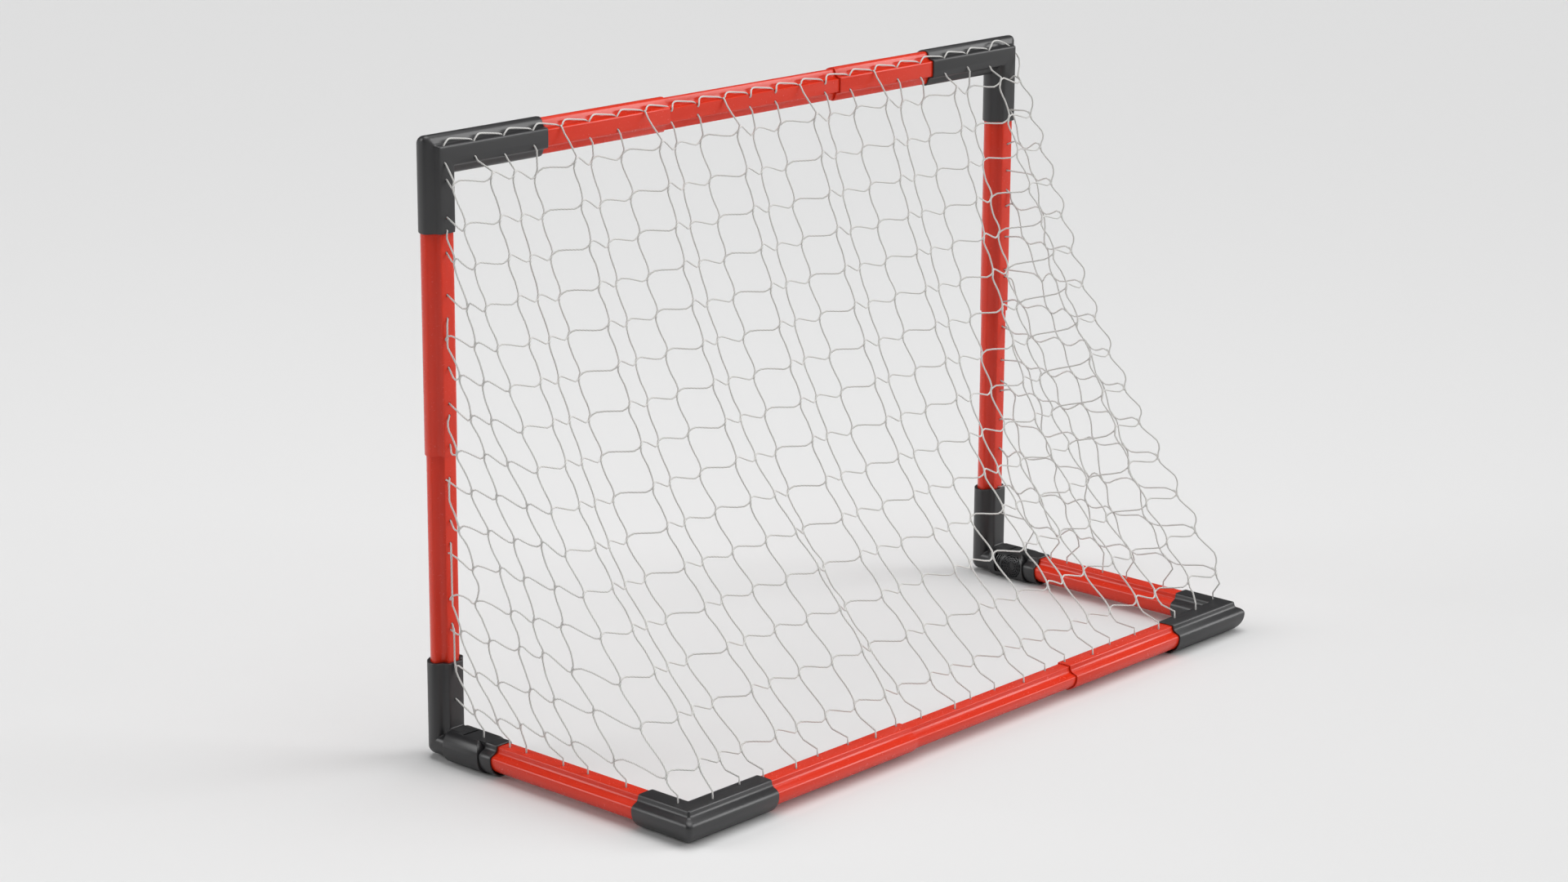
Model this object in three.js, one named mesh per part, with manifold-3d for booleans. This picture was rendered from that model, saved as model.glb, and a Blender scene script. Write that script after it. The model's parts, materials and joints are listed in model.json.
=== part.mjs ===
// Folding junior hockey goal. Millimetres, +Z up, floor at z = 0, mouth toward -Y.
// The front frame stands; the base frame folds up about one axis along X.
import * as THREE from 'three';
import Module from 'manifold-3d';
import { mergeVertices } from 'three/addons/utils/BufferGeometryUtils.js';

const wasm = await Module();
wasm.setup();

// overall layout
const postX = 535;            // centre line of a post, left and right
const postY = -207;           // centre line of the front frame
const crossZ = 759;           // centre line of the crossbar
const rearY = 205;            // centre line of the rear bar
const baseZ = 25.5;           // centre line of the base bars
const gap = 0.3;              // clearance between pieces that slide into each other

// section steps: connector outside 0, outer tube, thinner tube, bores
const outerTube = 2.3;
const outerBore = 4.0;
const thinTube = 4.3;
const thinBore = 6.2;
const footDepth = 2.5;        // extra depth under the base connectors

// connector legs
const topLegX = 367;          // end of a top connector along the crossbar
const topLegZ = 665.5;        // lower end of a top connector
const bottomLegZ = 127;       // upper end of a bottom connector
const rearLegX = 404;         // end of a rear connector along the rear bar
const rearLegY = 135;         // front end of a rear connector
const socketDepth = 40;
const cornerRound = 7;

// seams of the telescoping tubes
const crossSeamLeft = -176;
const crossSeamRight = 150;
const rearSeamLeft = -179;
const rearSeamRight = 144;
const postSeam = 390.5;
const tubeOverlap = 50;

// hinge
const pivotY = postY + 60;
const pivotZ = 24;
const cheekEnd = 20;          // flat end of the fixed cheeks, behind the pivot
const shoulder = 21;          // front of the swivel socket, behind the pivot
const socketEnd = 41;         // mouth of the swivel socket, behind the pivot
const tongueHalf = 13;
const tongueRadius = 18.5;
const pinRadius = 5;
const pinGap = 0.1;
const recessFloor = 20.3;     // floor of the ribbed recess, from the middle of the hinge
const spokes = 12;

// nets
const netThick = 1.0;
const netTop = 757;
const netFoot = 43.2;
const netFront = postY + 17.6;
const netRear = rearY - 13.5;
const netHalf = 531.5;

const red = new THREE.MeshStandardMaterial({ color: '#d8321f', roughness: 0.3, name: 'red_plastic' });
const black = new THREE.MeshStandardMaterial({ color: '#303030', roughness: 0.5, name: 'black_plastic' });
const cord = new THREE.MeshStandardMaterial({ color: '#ddd8cf', roughness: 0.9, name: 'net_cord' });
const steel = new THREE.MeshStandardMaterial({ color: '#3a3a3a', roughness: 0.4, name: 'pin_plastic' });

// half of the rail section: across, toward the ridge, and the way each corner moves when the section shrinks
const railHalf = [
  [10.5, 17.0, 0.5, 1.0], [12.5, 15.9, 0.85, 0.95], [13.1, 13.6, 1.0, 0.8], [13.7, 10.4, 1.0, 0.8],
  [15.4, 8.4, 0.9, 1.0], [18.6, 7.2, 0.45, 1.0], [22.0, 5.6, 0.6, 0.85], [24.3, 3.0, 0.9, 0.45],
  [25.0, 0.0, 1.0, 0.1], [24.6, -5.0, 1.0, -0.15], [23.0, -10.0, 0.92, -0.4], [20.0, -14.5, 0.8, -0.62],
  [16.0, -18.3, 0.6, -0.8], [11.0, -21.3, 0.4, -0.93], [6.0, -23.0, 0.25, -1.0],
];
const barrelHalf = [
  [12.5, 16.5], [17.0, 15.4], [21.4, 12.4], [24.6, 7.4], [26.2, 1.0], [26.3, -6.0],
  [25.2, -12.0], [22.2, -18.0], [17.6, -22.4], [12.0, -25.0], [7.5, -25.5],
];

// closed section from its half
function mirrorHalf(half) {
  const back = half.map(([u, v]) => [-u, v]).reverse();
  return [...half, ...back];
}

// rail section shrunk by inset, with its round side drawn out by depth
function rail(inset, depth = 0) {
  return mirrorHalf(railHalf.map(([u, v, nu, nv]) => {
    const w = v - inset * nv;
    return [u - inset * nu, w < 0 ? w * (1 + depth / 23) : w];
  }));
}

function signedVolume(pos, index) {
  let sum = 0;
  for (let i = 0; i < index.length; i += 3) {
    const [a, b, c] = [index[i], index[i + 1], index[i + 2]].map((k) => pos[k]);
    sum += a.dot(b.clone().cross(c));
  }
  return sum / 6;
}

// closed body through rings of equal length, ends capped by the flat section
function skin(rings, flat) {
  const n = flat.length;
  const pos = rings.flat();
  const index = [];
  for (let r = 0; r + 1 < rings.length; r += 1) {
    for (let i = 0; i < n; i += 1) {
      const j = (i + 1) % n;
      const a = r * n + i, b = r * n + j, c = a + n, d = b + n;
      index.push(a, b, d, a, d, c);
    }
  }
  const contour = flat.map(([x, y]) => new THREE.Vector2(x, y));
  const faces = THREE.ShapeUtils.triangulateShape(contour, []);
  const last = (rings.length - 1) * n;
  const area = THREE.ShapeUtils.area(contour);
  for (const [a, b, c] of faces) {
    const tri = [contour[a], contour[b], contour[c]];
    const flip = Math.sign(THREE.ShapeUtils.area(tri)) !== Math.sign(area);
    const [p, q, s] = flip ? [a, c, b] : [a, b, c];
    index.push(q, p, s, last + p, last + q, last + s);
  }
  if (signedVolume(pos, index) < 0) {
    for (let i = 0; i < index.length; i += 3) [index[i], index[i + 1]] = [index[i + 1], index[i]];
  }
  const geometry = new THREE.BufferGeometry();
  geometry.setAttribute('position', new THREE.Float32BufferAttribute(pos.flatMap((p) => p.toArray()), 3));
  geometry.setIndex(index);
  return geometry;
}

function solid(geometry) {
  const clean = mergeVertices(geometry, 1e-4);
  return new wasm.Manifold(new wasm.Mesh({
    numProp: 3,
    vertProperties: new Float32Array(clean.attributes.position.array),
    triVerts: new Uint32Array(clean.index.array),
  }));
}

function toGeometry(body) {
  const mesh = body.getMesh();
  const geometry = new THREE.BufferGeometry();
  const pos = [];
  for (let i = 0; i < mesh.numVert; i += 1) {
    for (let k = 0; k < 3; k += 1) pos.push(mesh.vertProperties[i * mesh.numProp + k]);
  }
  geometry.setAttribute('position', new THREE.Float32BufferAttribute(pos, 3));
  geometry.setIndex(Array.from(mesh.triVerts));
  return geometry;
}

const axisX = new THREE.Vector3(1, 0, 0);
const axisY = new THREE.Vector3(0, 1, 0);
const axisZ = new THREE.Vector3(0, 0, 1);
const point = (x, y, z) => new THREE.Vector3(x, y, z);

// straight length of a section; across and ridge say where u and v point
function length(flat, from, to, across, ridge) {
  const ring = (base) => flat.map(([u, v]) => base.clone().addScaledVector(across, u).addScaledVector(ridge, v));
  return solid(skin([ring(from), ring(to)], flat));
}

// section swept round one mitred corner; turning tells which section axis lies in the corner's plane
function mitred(flat, path, normals, fixed, turning) {
  const rings = path.map((base, k) => {
    let way = k === 0 ? normals[0].clone() : normals[1].clone();
    if (k === 1) way = normals[0].clone().add(normals[1]);
    return flat.map(([u, v]) => {
      const [inPlane, out] = turning === 'u' ? [u, v] : [v, u];
      return base.clone().addScaledVector(way, inPlane).addScaledVector(fixed, out);
    });
  });
  return solid(skin(rings, flat));
}

// flat outline in the YZ plane drawn out along X
function plateX(outline, x0, x1) {
  const ring = (x) => outline.map(([y, z]) => point(x, y, z));
  return solid(skin([ring(x0), ring(x1)], outline));
}

function arc(cy, cz, radius, from, to, steps) {
  return Array.from({ length: steps + 1 }, (_, i) => {
    const a = THREE.MathUtils.degToRad(from + ((to - from) * i) / steps);
    return [cy + radius * Math.cos(a), cz + radius * Math.sin(a)];
  });
}

// block with one corner rounded, used to round an outside corner; corner is the outside point
function roundCutter(corner, inA, inB, through, radius, reach) {
  const steps = 6;
  const outline = [[0, 0]];
  for (let i = 0; i <= steps; i += 1) {
    const a = (Math.PI / 2) * (i / steps);
    outline.push([radius * (1 - Math.sin(a)), radius * (1 - Math.cos(a))]);
  }
  const ring = (t) => outline.map(([p, q]) => corner.clone()
    .addScaledVector(inA, p - (p === 0 && q === 0 ? 0.5 : 0))
    .addScaledVector(inB, q - (p === 0 && q === 0 ? 0.5 : 0))
    .addScaledVector(through, t));
  return solid(skin([ring(-reach), ring(reach)], outline));
}

const goal = new THREE.Group();
goal.name = 'folding_hockey_goal';
function add(name, body, material) {
  const geometry = toGeometry(body);
  geometry.computeVertexNormals();
  const mesh = new THREE.Mesh(geometry, material);
  mesh.name = name;
  goal.add(mesh);
}

// hollow tube between two points
function tube(outside, inside, from, to, across, ridge) {
  const way = to.clone().sub(from).normalize();
  const body = length(outside, from, to, across, ridge);
  const core = length(inside, from.clone().addScaledVector(way, -1), to.clone().addScaledVector(way, 1), across, ridge);
  return body.subtract(core);
}

const tubeOut = rail(outerTube), tubeIn = rail(outerBore);
const thinOut = rail(thinTube), thinIn = rail(thinBore);
const frontShell = rail(0), baseShell = rail(0, footDepth);
const tubeSocket = rail(outerTube - gap), thinSocket = rail(thinTube - gap);

for (const [side, s] of [['left', -1], ['right', 1]]) {
  const x = s * postX;
  const outward = point(s, 0, 0);

  // top connector
  let top = mitred(frontShell,
    [point(s * topLegX, postY, crossZ), point(x, postY, crossZ), point(x, postY, topLegZ)],
    [axisZ, outward], axisY, 'u');
  top = top.subtract(length(tubeSocket, point(s * (topLegX - 1), postY, crossZ),
    point(s * (topLegX + socketDepth), postY, crossZ), axisZ, axisY));
  top = top.subtract(length(tubeSocket, point(x, postY, topLegZ - 1), point(x, postY, topLegZ + socketDepth),
    outward, axisY));
  top = top.subtract(roundCutter(point(x + s * 25, postY, crossZ + 25), point(-s, 0, 0), point(0, 0, -1),
    axisY, cornerRound, 40));
  add(`top_corner_${side}`, top, black);

  // posts
  add(`post_upper_${side}`, tube(tubeOut, tubeIn, point(x, postY, postSeam),
    point(x, postY, topLegZ + socketDepth - gap), outward, axisY), red);
  add(`post_lower_${side}`, tube(thinOut, thinIn, point(x, postY, bottomLegZ - socketDepth + gap),
    point(x, postY, postSeam + tubeOverlap), outward, axisY), red);

  // bottom connector with the fixed half of the hinge
  let bottom = mitred(frontShell,
    [point(x, postY, bottomLegZ), point(x, postY, baseZ), point(x, postY + 30, baseZ)],
    [axisY, axisZ], outward, 'v');
  bottom = bottom.add(length(mirrorHalf(barrelHalf), point(x, postY + 19, baseZ),
    point(x, pivotY + cheekEnd, baseZ), outward, axisZ));
  bottom = bottom.subtract(roundCutter(point(x, postY - 23, baseZ - 23), axisY, axisZ, axisX, cornerRound + 2, 40));
  bottom = bottom.subtract(length(thinSocket, point(x, postY, bottomLegZ - socketDepth),
    point(x, postY, bottomLegZ + 1), outward, axisY));
  const slotLow = pivotZ - tongueRadius - 0.7;
  bottom = bottom.subtract(plateX([[pivotY - tongueRadius - 0.7, slotLow], [pivotY + 30, slotLow],
    [pivotY + 30, 60], [pivotY - tongueRadius - 0.7, 60]], x - tongueHalf - gap, x + tongueHalf + gap));
  // upper rear edge of the cheeks follows the pivot
  bottom = bottom.subtract(plateX([...arc(pivotY, pivotZ, 20.3, 10, 90, 8), [pivotY, pivotZ + 30],
    [pivotY + 30, pivotZ + 30], [pivotY + 30, pivotZ + 3.5]], x - 40, x + 40));
  // recess on the inner face: round boss and a pocket toward the post
  const face = x - s * 30, floor = x - s * recessFloor;
  const pocket = [[pivotY, pivotZ - 15], [pivotY, pivotZ + 13.5], [pivotY - 31, pivotZ + 13.5],
    [pivotY - 31, pivotZ - 15]];
  bottom = bottom.subtract(plateX(arc(pivotY, pivotZ, 16.5, 0, 345, 23), face, floor));
  bottom = bottom.subtract(plateX(pocket, face, floor).subtract(
    plateX(arc(pivotY, pivotZ, 18.3, 0, 345, 23), face - 1, face + 60)));
  // ribs standing on the floor of the recess
  const ribTop = x - s * 24.6, ribFoot = floor + s * 0.5;
  const rib = (outline) => plateX(outline, ribTop, ribFoot);
  for (const r of [22.4, 27.0]) {
    bottom = bottom.add(rib([...arc(pivotY, pivotZ, r + 0.8, 149, 211, 8), ...arc(pivotY, pivotZ, r - 0.8, 211, 149, 8)]));
  }
  bottom = bottom.add(rib([[pivotY - 31.5, pivotZ - 0.8], [pivotY - 17.6, pivotZ - 0.8],
    [pivotY - 17.6, pivotZ + 0.8], [pivotY - 31.5, pivotZ + 0.8]]));
  for (let k = 0; k < spokes; k += 1) {
    const a = (2 * Math.PI * k) / spokes;
    const [c, q] = [Math.cos(a), Math.sin(a)];
    bottom = bottom.add(rib([[6.5, -0.7], [17, -0.7], [17, 0.7], [6.5, 0.7]].map(([r, t]) => [
      pivotY + r * c - t * q, pivotZ + r * q + t * c])));
  }
  for (const [r0, r1] of [[5.6, 7.4], [11.2, 12.6]]) {
    bottom = bottom.add(rib(arc(pivotY, pivotZ, r1, 0, 345, 23)).subtract(
      plateX(arc(pivotY, pivotZ, r0, 0, 345, 23), x - s * 40, x)));
  }
  // bore for the pin, closed toward the outside
  bottom = bottom.subtract(plateX(arc(pivotY, pivotZ, pinRadius + pinGap, 0, 345, 23), x - s * 40, x + s * 21));
  add(`bottom_corner_${side}`, bottom, black);
  add(`hinge_pin_${side}`, plateX(arc(pivotY, pivotZ, pinRadius, 0, 345, 23), x - s * 23.8, x + s * 20.7), steel);

  // swivel socket: tongue between the cheeks and the cup that holds the side tube
  let swivel = length(baseShell, point(x, pivotY + shoulder, baseZ), point(x, pivotY + socketEnd, baseZ), axisX, axisZ);
  const tongue = [[pivotY + shoulder + 1, pivotZ + tongueRadius],
    ...arc(pivotY, pivotZ, tongueRadius, 90, 270, 12), [pivotY + shoulder + 1, pivotZ - tongueRadius]];
  swivel = swivel.add(plateX(tongue, x - tongueHalf, x + tongueHalf));
  swivel = swivel.subtract(length(tubeSocket, point(x, pivotY + shoulder + 3, baseZ),
    point(x, pivotY + socketEnd + 1, baseZ), axisX, axisZ));
  swivel = swivel.subtract(plateX(arc(pivotY, pivotZ, pinRadius + pinGap, 0, 345, 23), x - 40, x + 40));
  add(`swivel_socket_${side}`, swivel, black);

  // side tube
  add(`side_tube_${side}`, tube(tubeOut, tubeIn, point(x, pivotY + shoulder + 3 + gap, baseZ),
    point(x, rearLegY + socketDepth - gap, baseZ), axisX, axisZ), red);

  // rear connector
  let rear = mitred(baseShell,
    [point(x, rearLegY, baseZ), point(x, rearY, baseZ), point(s * rearLegX, rearY, baseZ)],
    [outward, axisY], axisZ, 'u');
  rear = rear.subtract(length(tubeSocket, point(x, rearLegY - 1, baseZ),
    point(x, rearLegY + socketDepth, baseZ), axisX, axisZ));
  rear = rear.subtract(length(tubeSocket, point(s * (rearLegX - 1), rearY, baseZ),
    point(s * (rearLegX + socketDepth), rearY, baseZ), axisY, axisZ));
  rear = rear.subtract(roundCutter(point(x + s * 25, rearY + 25, baseZ), point(-s, 0, 0), point(0, -1, 0),
    axisZ, cornerRound, 40));
  add(`rear_corner_${side}`, rear, black);

  // side net
  add(`net_side_${side}`, plateX([[netFront, netTop], [netFront, netFoot], [netRear, netFoot]],
    x - netThick / 2, x + netThick / 2), cord);
}

// crossbar in three lengths
add('crossbar_left', tube(tubeOut, tubeIn, point(-(topLegX + socketDepth - gap), postY, crossZ),
  point(crossSeamLeft, postY, crossZ), axisZ, axisY), red);
add('crossbar_middle', tube(thinOut, thinIn, point(crossSeamLeft - tubeOverlap, postY, crossZ),
  point(crossSeamRight + tubeOverlap, postY, crossZ), axisZ, axisY), red);
add('crossbar_right', tube(tubeOut, tubeIn, point(crossSeamRight, postY, crossZ),
  point(topLegX + socketDepth - gap, postY, crossZ), axisZ, axisY), red);

// rear bar in three lengths
add('rear_bar_left', tube(tubeOut, tubeIn, point(-(rearLegX + socketDepth - gap), rearY, baseZ),
  point(rearSeamLeft, rearY, baseZ), axisY, axisZ), red);
add('rear_bar_middle', tube(thinOut, thinIn, point(rearSeamLeft - tubeOverlap, rearY, baseZ),
  point(rearSeamRight + tubeOverlap, rearY, baseZ), axisY, axisZ), red);
add('rear_bar_right', tube(tubeOut, tubeIn, point(rearSeamRight, rearY, baseZ),
  point(rearLegX + socketDepth - gap, rearY, baseZ), axisY, axisZ), red);

// back net: one slanting sheet from behind the crossbar to the ridge of the rear bar
{
  const run = netRear - netFront, drop = netTop - netFoot;
  const size = Math.hypot(run, drop);
  const [ny, nz] = [(drop / size) * netThick, (run / size) * netThick];
  add('net_back', plateX([[netFront, netTop], [netRear, netFoot], [netRear + ny, netFoot + nz],
    [netFront + ny, netTop + nz]], -netHalf, netHalf), cord);
}

export default goal;
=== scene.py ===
import json
import math

import bpy
import numpy as np
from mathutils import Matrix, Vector


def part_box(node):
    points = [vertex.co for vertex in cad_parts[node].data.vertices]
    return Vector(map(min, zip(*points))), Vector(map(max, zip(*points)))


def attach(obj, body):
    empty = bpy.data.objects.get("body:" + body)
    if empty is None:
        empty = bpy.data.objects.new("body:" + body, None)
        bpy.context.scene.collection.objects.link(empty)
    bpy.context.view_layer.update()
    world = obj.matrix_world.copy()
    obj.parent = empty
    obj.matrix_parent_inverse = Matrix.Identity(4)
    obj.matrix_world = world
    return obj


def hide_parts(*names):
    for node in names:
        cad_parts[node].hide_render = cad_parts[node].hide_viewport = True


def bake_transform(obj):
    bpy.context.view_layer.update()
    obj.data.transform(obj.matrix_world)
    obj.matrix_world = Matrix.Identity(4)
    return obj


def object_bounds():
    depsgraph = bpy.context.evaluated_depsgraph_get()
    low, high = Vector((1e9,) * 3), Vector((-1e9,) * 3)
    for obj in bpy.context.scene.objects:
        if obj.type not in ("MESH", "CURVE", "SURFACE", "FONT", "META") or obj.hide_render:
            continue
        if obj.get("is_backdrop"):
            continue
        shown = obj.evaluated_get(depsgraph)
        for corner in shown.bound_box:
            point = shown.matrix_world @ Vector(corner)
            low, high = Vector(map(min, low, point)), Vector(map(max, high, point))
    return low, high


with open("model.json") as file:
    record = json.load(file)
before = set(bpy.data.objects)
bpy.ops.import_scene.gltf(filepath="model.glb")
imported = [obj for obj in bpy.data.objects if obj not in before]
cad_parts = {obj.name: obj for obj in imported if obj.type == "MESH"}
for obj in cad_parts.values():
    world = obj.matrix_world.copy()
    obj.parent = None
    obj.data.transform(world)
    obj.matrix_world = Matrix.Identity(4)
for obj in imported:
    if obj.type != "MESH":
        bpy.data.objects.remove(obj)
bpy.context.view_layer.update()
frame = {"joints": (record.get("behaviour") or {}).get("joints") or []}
scene = bpy.context.scene
scene.view_settings.view_transform = "Standard"

# camera: place in metres, turn in degrees
view = {"place": (3.3207, 2.8594, 1.5294), "turn": (74.797, -0.392, 132.110), "lens": 80.77, "sensor": 36.0}
cameraData = bpy.data.cameras.new("camera")
cameraData.lens, cameraData.sensor_width = view["lens"], view["sensor"]
camera = bpy.data.objects.new("camera", cameraData)
camera.location = view["place"]
camera.rotation_euler = [math.radians(a) for a in view["turn"]]
scene.collection.objects.link(camera)
scene.camera = camera
print("camera placed")


# Lowest and highest corner of a CAD node, in millimetres.
def corners(node):
    return [np.array(c) * 1000 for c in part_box(node)]


def axisVector(x, y, z):
    return np.array([x, y, z], float)


axisX, axisY, axisZ = axisVector(1, 0, 0), axisVector(0, 1, 0), axisVector(0, 0, 1)

# the rail section, half of it: across, toward the ridge, and how each corner moves when the section shrinks
rail = {
    "half": [
        [10.5, 17.0, 0.5, 1.0], [12.5, 15.9, 0.85, 0.95], [13.1, 13.6, 1.0, 0.8], [13.7, 10.4, 1.0, 0.8],
        [15.4, 8.4, 0.9, 1.0], [18.6, 7.2, 0.45, 1.0], [22.0, 5.6, 0.6, 0.85], [24.3, 3.0, 0.9, 0.45],
        [25.0, 0.0, 1.0, 0.1], [24.6, -5.0, 1.0, -0.15], [23.0, -10.0, 0.92, -0.4], [20.0, -14.5, 0.8, -0.62],
        [16.0, -18.3, 0.6, -0.8], [11.0, -21.3, 0.4, -0.93], [6.0, -23.0, 0.25, -1.0],
    ],
    "halfWidth": 25.0, "backDepth": 23.0, "ridge": 17.0, "footDepth": 2.5,
    "outer": 2.3, "outerBore": 4.0, "thin": 4.3, "thinBore": 6.2, "clearance": 0.3,
    "lip": 0.5, "connectorLip": 0.9, "socket": 40.0,
}
barrel = {
    "half": [
        [12.5, 16.5], [17.0, 15.4], [21.4, 12.4], [24.6, 7.4], [26.2, 1.0], [26.3, -6.0],
        [25.2, -12.0], [22.2, -18.0], [17.6, -22.4], [12.0, -25.0], [7.5, -25.5],
    ],
}

# layout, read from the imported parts
topLow, topHigh = corners("top_corner_right")
rearLow, rearHigh = corners("rear_corner_right")
postX = topHigh[0] - rail["halfWidth"]
crossZ = topHigh[2] - rail["halfWidth"]
postY = topLow[1] + rail["backDepth"]
rearY = rearHigh[1] - rail["halfWidth"]
baseZ = rearLow[2] + rail["backDepth"] + rail["footDepth"]
topLegX, topLegZ = topLow[0], topLow[2]
rearLegX, rearLegY = rearLow[0], rearLow[1]
bottomLegZ = corners("bottom_corner_right")[1][2]
postSeam = corners("post_upper_right")[0][2]
crossSeams = (corners("crossbar_left")[1][0], corners("crossbar_right")[0][0])
rearSeams = (corners("rear_bar_left")[1][0], corners("rear_bar_right")[0][0])
pivotY, pivotZ = [v * 1000 for v in frame["joints"][0]["pos_m"][1:]]
overlap = crossSeams[0] - corners("crossbar_middle")[0][0]


# sRGB hex to linear: c / 12.92 up to 0.04045, else ((c + 0.055) / 1.055) ** 2.4.
def linearColour(code):
    parts = [int(code[i:i + 2], 16) / 255 for i in (1, 3, 5)]
    return [c / 12.92 if c <= 0.04045 else ((c + 0.055) / 1.055) ** 2.4 for c in parts] + [1.0]


# Adds a node, sets its properties and sockets, and links sockets from other nodes' outputs.
def addNode(material, kind, settings=None, links=None):
    tree = material.node_tree
    node = tree.nodes.new(kind)
    for name, value in (settings or {}).items():
        if isinstance(name, str) and hasattr(node, name):
            setattr(node, name, value)
        else:
            node.inputs[name].default_value = value
    for name, source in (links or {}).items():
        tree.links.new(source, node.inputs[name])
    return node


def newMaterial(name):
    material = bpy.data.materials.new(name)
    material.use_nodes = True
    material.node_tree.nodes.clear()
    return material


def finishMaterial(material, shader):
    addNode(material, "ShaderNodeOutputMaterial", links={"Surface": shader.outputs["BSDF"]})
    return material


# Colour, roughness and a fine bump from noise on Object coordinates; grain and cloud are sizes in mm.
def mouldedPlastic(name, look):
    material = newMaterial(name)
    place = addNode(material, "ShaderNodeTexCoord").outputs["Object"]
    cloud = addNode(material, "ShaderNodeTexNoise", {"Scale": 1000 / look["cloud"], "Detail": 3.0},
                    {"Vector": place})
    grain = addNode(material, "ShaderNodeTexNoise", {"Scale": 1000 / look["grain"], "Detail": 4.0},
                    {"Vector": place})
    colour = addNode(material, "ShaderNodeMix", {"data_type": "RGBA"}, {"Factor": cloud.outputs["Fac"]})
    colour.inputs[6].default_value = linearColour(look["dark"])
    colour.inputs[7].default_value = linearColour(look["light"])
    gloss = addNode(material, "ShaderNodeMapRange", {"To Min": look["smooth"], "To Max": look["rough"]},
                    {"Value": grain.outputs["Fac"]})
    bump = addNode(material, "ShaderNodeBump", {"Strength": look["bump"], "Distance": look["height"] / 1000},
                   {"Height": grain.outputs["Fac"]})
    shader = addNode(material, "ShaderNodeBsdfPrincipled",
                     {"IOR": look["ior"], "Specular IOR Level": look["gleam"]},
                     {"Base Color": colour.outputs[2], "Roughness": gloss.outputs["Result"],
                      "Normal": bump.outputs["Normal"]})
    return finishMaterial(material, shader)


# polyethylene, blown into a polished mould: strong colour, wide gloss, a very slight orange peel
redPlastic = mouldedPlastic("red_blown_polyethylene", {
    "dark": "#d52e15", "light": "#df351a", "cloud": 60.0, "grain": 3.0, "smooth": 0.22, "rough": 0.3,
    "bump": 0.05, "height": 0.25, "ior": 1.51, "gleam": 0.4})
# polypropylene with a fine spark-eroded grain: soft broad highlights, drawn at 0.9 mm so that it shows
blackPlastic = mouldedPlastic("black_moulded_polypropylene", {
    "dark": "#18181a", "light": "#202022", "cloud": 25.0, "grain": 0.9, "smooth": 0.36, "rough": 0.46,
    "bump": 0.25, "height": 0.12, "ior": 1.49, "gleam": 0.75})
# acetal pin, turned smooth: a little glossier than the connectors
pinPlastic = mouldedPlastic("black_turned_acetal", {
    "dark": "#1d1d1e", "light": "#262627", "cloud": 8.0, "grain": 0.6, "smooth": 0.28, "rough": 0.38,
    "bump": 0.1, "height": 0.08, "ior": 1.48, "gleam": 0.5})


# Twisted strands: height = sin(strands a + 2 pi l / lay), with a round the cord and l along it, plus fuzz.
def twistedCord(name, look):
    material = newMaterial(name)
    way = addNode(material, "ShaderNodeAttribute", {"attribute_name": "lay"})
    split = addNode(material, "ShaderNodeSeparateXYZ", links={"Vector": way.outputs["Vector"]})
    turn = addNode(material, "ShaderNodeMath", {"operation": "ARCTAN2"},
                   {0: split.outputs["Y"], 1: split.outputs["X"]})
    around = addNode(material, "ShaderNodeMath", {"operation": "MULTIPLY", 1: look["strands"]},
                     {0: turn.outputs[0]})
    along = addNode(material, "ShaderNodeMath", {"operation": "MULTIPLY", 1: 2 * math.pi / look["lay"]},
                    {0: split.outputs["Z"]})
    phase = addNode(material, "ShaderNodeMath", {"operation": "ADD"},
                    {0: around.outputs[0], 1: along.outputs[0]})
    wave = addNode(material, "ShaderNodeMath", {"operation": "SINE"}, {0: phase.outputs[0]})
    height = addNode(material, "ShaderNodeMapRange", {"From Min": -1.0, "From Max": 1.0},
                     {"Value": wave.outputs[0]})
    place = addNode(material, "ShaderNodeTexCoord").outputs["Object"]
    fuzz = addNode(material, "ShaderNodeTexNoise", {"Scale": 1000 / look["fuzz"], "Detail": 4.0},
                   {"Vector": place})
    both = addNode(material, "ShaderNodeMath", {"operation": "MULTIPLY_ADD", 1: 0.3},
                   {0: fuzz.outputs["Fac"], 2: height.outputs["Result"]})
    # colour follows the strand height: painted shade, darker in the grooves between the strands and lighter on
    # their crowns
    colour = addNode(material, "ShaderNodeMix", {"data_type": "RGBA"}, {"Factor": height.outputs["Result"]})
    colour.inputs[6].default_value = linearColour(look["dark"])
    colour.inputs[7].default_value = linearColour(look["light"])
    bump = addNode(material, "ShaderNodeBump", {"Strength": look["bump"], "Distance": look["height"] / 1000},
                   {"Height": both.outputs[0]})
    shader = addNode(material, "ShaderNodeBsdfPrincipled",
                     {"Roughness": look["rough"], "IOR": look["ior"], "Sheen Weight": look["sheen"],
                      "Sheen Roughness": look["sheenRough"]},
                     {"Base Color": colour.outputs[2], "Normal": bump.outputs["Normal"]})
    return finishMaterial(material, shader)


# nylon net cord, three strands twisted, undyed: greyish white, dull, with a soft sheen; its dark tone is
# painted shade for the grooves between the strands
netCord = twistedCord("twisted_nylon_cord", {
    "dark": "#b9b8b5", "light": "#dfdedb", "strands": 3.0, "lay": 4.5, "fuzz": 0.5, "bump": 0.5, "height": 0.25,
    "rough": 0.72, "ior": 1.53, "sheen": 0.25, "sheenRough": 0.5})
print("materials made")


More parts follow.
